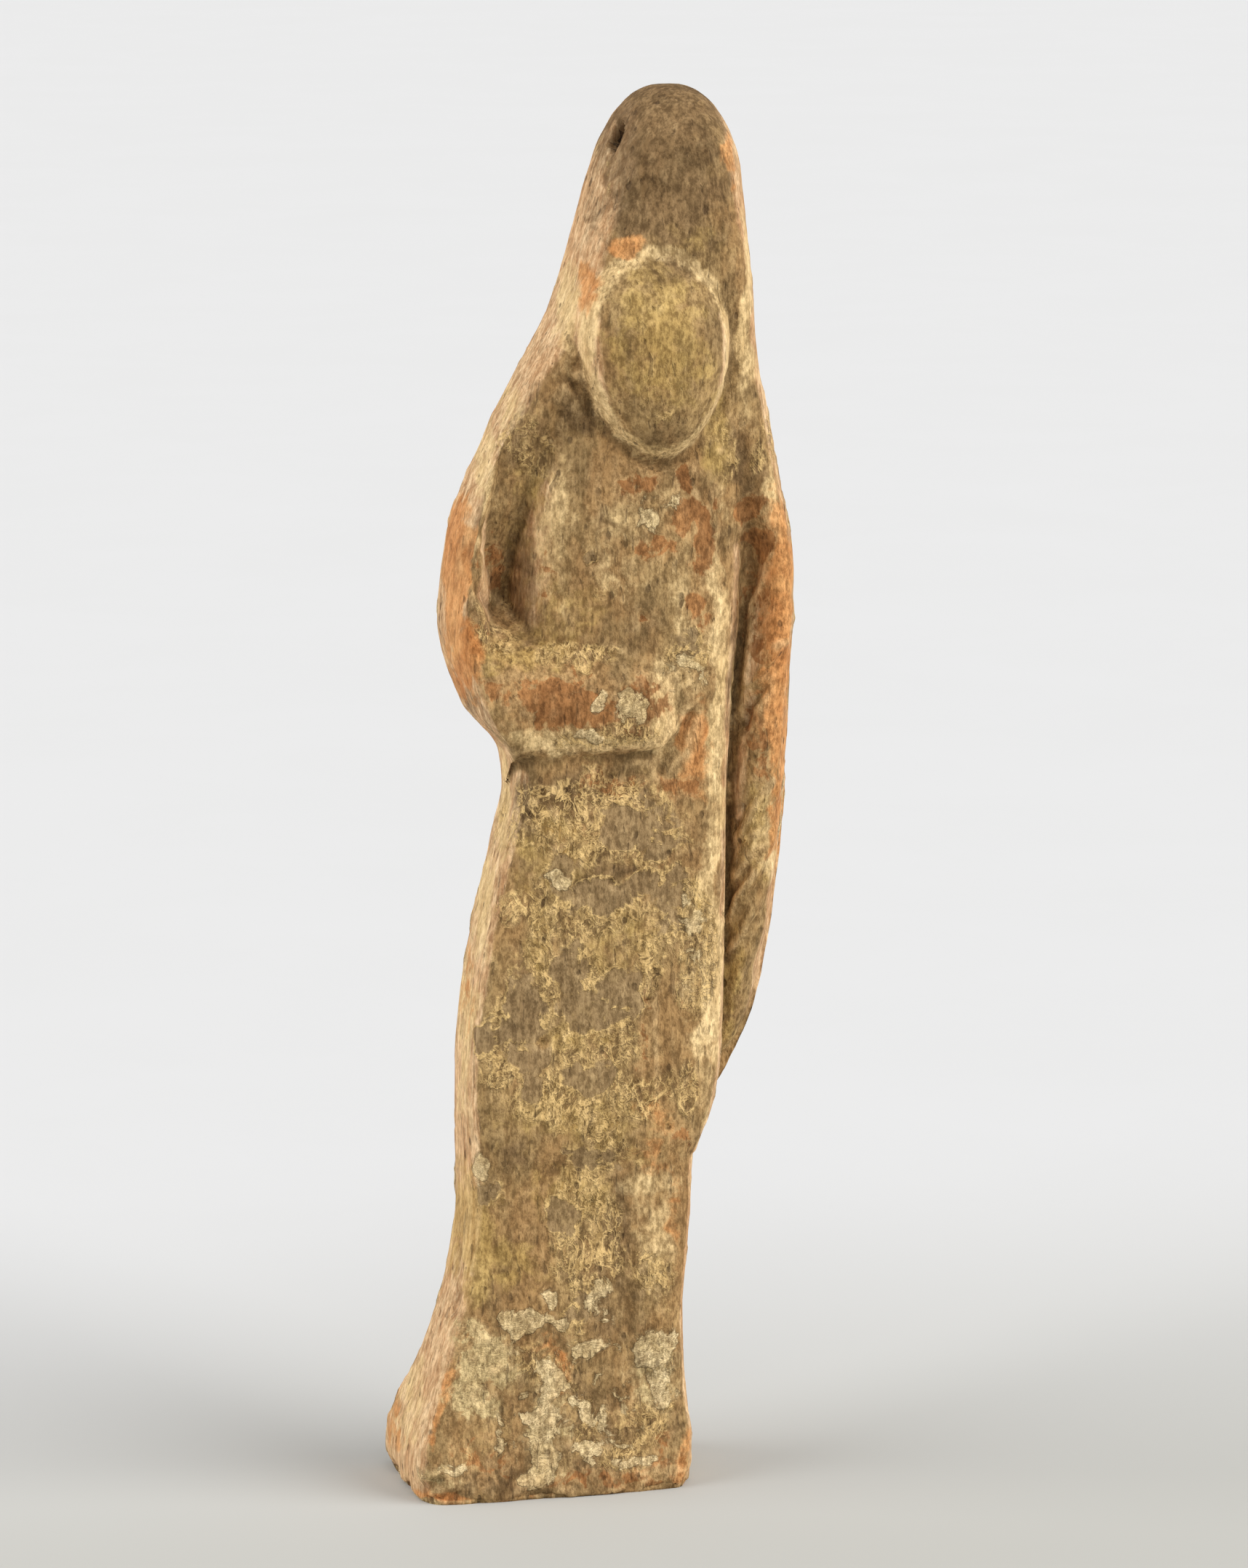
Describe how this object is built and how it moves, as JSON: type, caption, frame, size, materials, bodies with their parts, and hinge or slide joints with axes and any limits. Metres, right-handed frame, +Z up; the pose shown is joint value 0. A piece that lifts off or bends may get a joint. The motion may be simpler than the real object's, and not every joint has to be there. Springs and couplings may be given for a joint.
{
  "type": "funerary figure",
  "caption": "Veiled standing figure in fired clay, one arm bent across the waist and one hanging, solid with a spreading rectangular base.",
  "frame": {"origin": "middle of the flat underside of the base", "axes": "+Z up the figure, -Y the side the figure faces, +X to the viewer's right when facing it"},
  "size_m": [0.0579, 0.0299, 0.2],
  "materials": {
    "clay": "matt fired clay with worn pale slip and earth"
  },
  "bodies": {
    "root": {"figure": "clay"}
  },
  "joints": []
}
